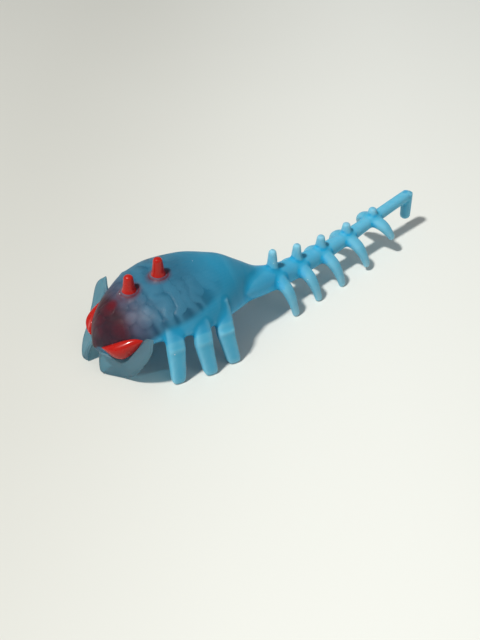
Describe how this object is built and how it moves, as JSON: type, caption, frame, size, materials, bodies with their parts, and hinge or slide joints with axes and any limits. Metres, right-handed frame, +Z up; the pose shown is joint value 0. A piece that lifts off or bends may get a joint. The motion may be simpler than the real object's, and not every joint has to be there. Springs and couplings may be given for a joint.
{
  "type": "soft plastic creature bait",
  "caption": "Soft translucent creature bait with a domed head over a red insert, paddle legs, cheek flaps and a ribbed flexible tail.",
  "frame": {"origin": "on the surface that the bait stands on, under the middle of its whole outline", "axes": "+X from the snout to the tail, +Z up, so +Y is the right side of the creature"},
  "size_m": [0.1285, 0.042, 0.0315],
  "materials": {
    "blue_elastomer": "satin",
    "blue_elastomer_thin": "satin",
    "red_gloss": "gloss",
    "red_core": "satin"
  },
  "bodies": {
    "trunk": {"dome_skin": "blue_elastomer", "belly_panel": "blue_elastomer", "red_core": "red_core", "horn_front": "red_gloss", "horn_rear": "red_gloss", "eye_left": "red_gloss", "eye_right": "red_gloss"},
    "tail_1": {"tail_bar_1": "blue_elastomer", "spike_1": "blue_elastomer_thin", "rib_1_left": "blue_elastomer_thin", "rib_1_right": "blue_elastomer_thin"},
    "tail_2": {"tail_bar_2": "blue_elastomer", "spike_2": "blue_elastomer_thin", "rib_2_left": "blue_elastomer_thin", "rib_2_right": "blue_elastomer_thin"},
    "tail_3": {"tail_bar_3": "blue_elastomer", "spike_3": "blue_elastomer_thin", "rib_3_left": "blue_elastomer_thin", "rib_3_right": "blue_elastomer_thin"},
    "tail_4": {"tail_bar_4": "blue_elastomer", "spike_4": "blue_elastomer_thin", "rib_4_left": "blue_elastomer_thin", "rib_4_right": "blue_elastomer_thin"},
    "tail_5": {"tail_bar_5": "blue_elastomer", "spike_5": "blue_elastomer_thin", "rib_5_left": "blue_elastomer_thin", "rib_5_right": "blue_elastomer_thin"},
    "tail_end": {"tail_hook": "blue_elastomer_thin"},
    "leg_front_left": {"leg_front_left": "blue_elastomer"},
    "leg_middle_left": {"leg_middle_left": "blue_elastomer"},
    "leg_rear_left": {"leg_rear_left": "blue_elastomer"},
    "cheek_flap_left": {"cheek_flap_left": "blue_elastomer_thin"},
    "leg_front_right": {"leg_front_right": "blue_elastomer"},
    "leg_middle_right": {"leg_middle_right": "blue_elastomer"},
    "leg_rear_right": {"leg_rear_right": "blue_elastomer"},
    "cheek_flap_right": {"cheek_flap_right": "blue_elastomer_thin"}
  },
  "joints": [
    {"name": "tail_flex_1", "type": "hinge", "parent": "trunk", "child": "tail_1", "pos_m": [-0.00578, -0.00173, 0.01245], "axis": [0, 0, 1], "range_deg": [-14, 14], "stiffness_Nm_per_rad": 0.16},
    {"name": "tail_flex_2", "type": "hinge", "parent": "tail_1", "child": "tail_2", "pos_m": [0.00369, 0.00081, 0.01086], "axis": [0.2588, -0.9659, 0], "range_deg": [-14, 14], "stiffness_Nm_per_rad": 0.14},
    {"name": "tail_flex_3", "type": "hinge", "parent": "tail_2", "child": "tail_3", "pos_m": [0.01441, 0.00368, 0.01017], "axis": [0, 0, 1], "range_deg": [-18, 18], "stiffness_Nm_per_rad": 0.08},
    {"name": "tail_flex_4", "type": "hinge", "parent": "tail_3", "child": "tail_4", "pos_m": [0.02591, 0.00676, 0.01024], "axis": [0.2588, -0.9659, 0], "range_deg": [-18, 18], "stiffness_Nm_per_rad": 0.08},
    {"name": "tail_flex_5", "type": "hinge", "parent": "tail_4", "child": "tail_5", "pos_m": [0.03846, 0.01012, 0.01112], "axis": [0, 0, 1], "range_deg": [-22, 22], "stiffness_Nm_per_rad": 0.05},
    {"name": "tail_flex_6", "type": "hinge", "parent": "tail_5", "child": "tail_end", "pos_m": [0.05044, 0.01333, 0.01247], "axis": [0.2588, -0.9659, 0], "range_deg": [-28, 28], "stiffness_Nm_per_rad": 0.05},
    {"name": "hip_front_left", "type": "hinge", "parent": "trunk", "child": "leg_front_left", "pos_m": [-0.0441, -0.017, 0.0102], "axis": [-1, 0, 0], "range_deg": [-20, 30], "stiffness_Nm_per_rad": 0.03},
    {"name": "hip_middle_left", "type": "hinge", "parent": "trunk", "child": "leg_middle_left", "pos_m": [-0.0357, -0.018, 0.0102], "axis": [-1, 0, 0], "range_deg": [-20, 30], "stiffness_Nm_per_rad": 0.03},
    {"name": "hip_rear_left", "type": "hinge", "parent": "trunk", "child": "leg_rear_left", "pos_m": [-0.0277, -0.0166, 0.0102], "axis": [-1, 0, 0], "range_deg": [-20, 30], "stiffness_Nm_per_rad": 0.03},
    {"name": "cheek_flex_left", "type": "hinge", "parent": "trunk", "child": "cheek_flap_left", "pos_m": [-0.05765, -0.00875, 0.009], "axis": [0.6086, -0.6654, 0.4323], "range_deg": [-6, 28], "stiffness_Nm_per_rad": 0.02},
    {"name": "hip_front_right", "type": "hinge", "parent": "trunk", "child": "leg_front_right", "pos_m": [-0.0441, 0.017, 0.0102], "axis": [1, 0, 0], "range_deg": [-20, 30], "stiffness_Nm_per_rad": 0.03},
    {"name": "hip_middle_right", "type": "hinge", "parent": "trunk", "child": "leg_middle_right", "pos_m": [-0.0357, 0.018, 0.0102], "axis": [1, 0, 0], "range_deg": [-20, 30], "stiffness_Nm_per_rad": 0.03},
    {"name": "hip_rear_right", "type": "hinge", "parent": "trunk", "child": "leg_rear_right", "pos_m": [-0.0277, 0.0166, 0.0102], "axis": [1, 0, 0], "range_deg": [-20, 30], "stiffness_Nm_per_rad": 0.03},
    {"name": "cheek_flex_right", "type": "hinge", "parent": "trunk", "child": "cheek_flap_right", "pos_m": [-0.05765, 0.00875, 0.009], "axis": [-0.6086, -0.6654, -0.4323], "range_deg": [-8, 24], "stiffness_Nm_per_rad": 0.02}
  ]
}
